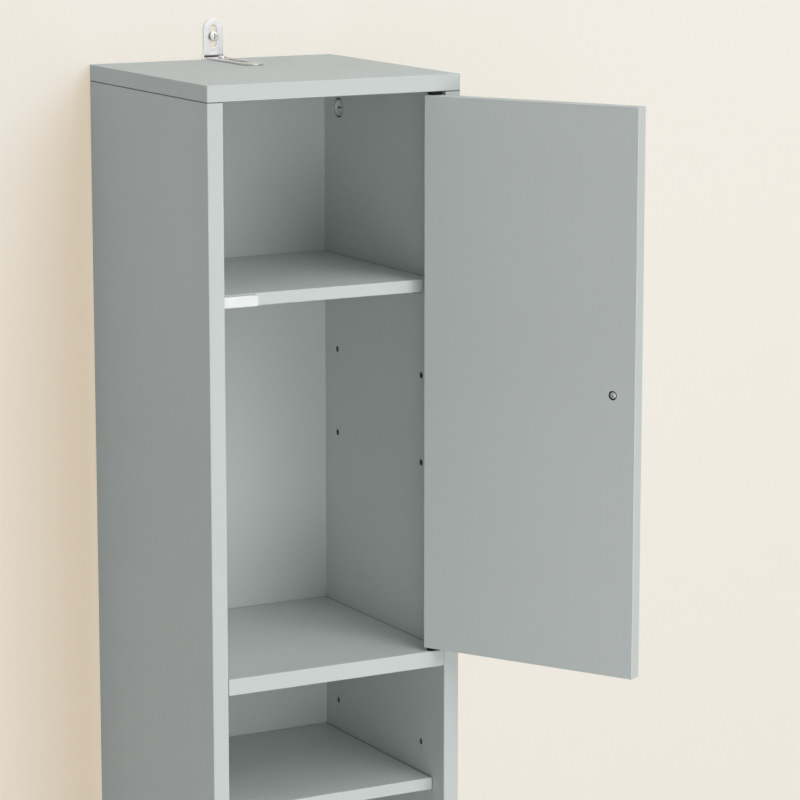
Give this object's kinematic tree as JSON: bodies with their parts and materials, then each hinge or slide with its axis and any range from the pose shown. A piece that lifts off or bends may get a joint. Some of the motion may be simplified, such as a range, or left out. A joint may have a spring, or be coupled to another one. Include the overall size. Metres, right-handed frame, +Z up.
{
  "type": "narrow bathroom cabinet",
  "caption": "Tall narrow bathroom cabinet with pivoted inset doors above and below an open section, adjustable shelves, recessed kick board and an anti-tip wall bracket.",
  "frame": {"origin": "on the floor under the centre of the carcass footprint", "axes": "+Z up, +Y towards the wall at the back, +X to the right as seen from the front"},
  "size_m": [0.2755, 0.3791, 1.23],
  "materials": {
    "board": "satin pale grey melamine on chipboard",
    "back": "satin pale grey foil on thin fibreboard",
    "dowel": "bare beech",
    "stop": "white moulded plastic",
    "pivot": "black moulded plastic",
    "glide": "pale moulded plastic",
    "pin": "nickel-plated steel",
    "zinc": "die-cast zinc",
    "nickel": "satin nickel",
    "bracket": "bright zinc-plated steel",
    "screw": "zinc-plated steel"
  },
  "bodies": {
    "carcass": {"top_panel": "board", "left_side_panel": "board", "right_side_panel": "board", "upper_fixed_shelf": "board", "lower_fixed_shelf": "board", "bottom_panel": "board", "kick_board": "board", "back_panel": "back", "upper_adjustable_shelf": "board", "middle_adjustable_shelf": "board", "lower_adjustable_shelf": "board", "upper_shelf_pins": "pin", "middle_shelf_pins": "pin", "lower_shelf_pins": "pin", "upper_door_stop": "stop", "lower_door_stop": "stop", "cam_locks": "zinc", "cam_bolts": "screw", "wooden_dowels": "dowel", "foot_glides": "glide", "wall_bracket": "bracket", "bracket_screw": "screw", "wall_screw": "screw", "upper_door_top_pivot": "pivot", "upper_door_bottom_pivot": "pivot", "lower_door_top_pivot": "pivot", "lower_door_bottom_pivot": "pivot"},
    "upper_door_leaf": {"upper_door": "board", "upper_door_knob": "nickel", "upper_knob_screw": "screw"},
    "lower_door_leaf": {"lower_door": "board", "lower_door_knob": "nickel", "lower_knob_screw": "screw"}
  },
  "joints": [
    {"name": "upper_door_hinge", "type": "hinge", "parent": "carcass", "child": "upper_door_leaf", "pos_m": [0.08114, -0.0962, 0.778], "axis": [0, 0, 1], "range_deg": [-119.5, 0]},
    {"name": "lower_door_hinge", "type": "hinge", "parent": "carcass", "child": "lower_door_leaf", "pos_m": [0.08114, -0.0962, 0.09], "axis": [0, 0, 1], "range_deg": [0, 119.5]}
  ]
}
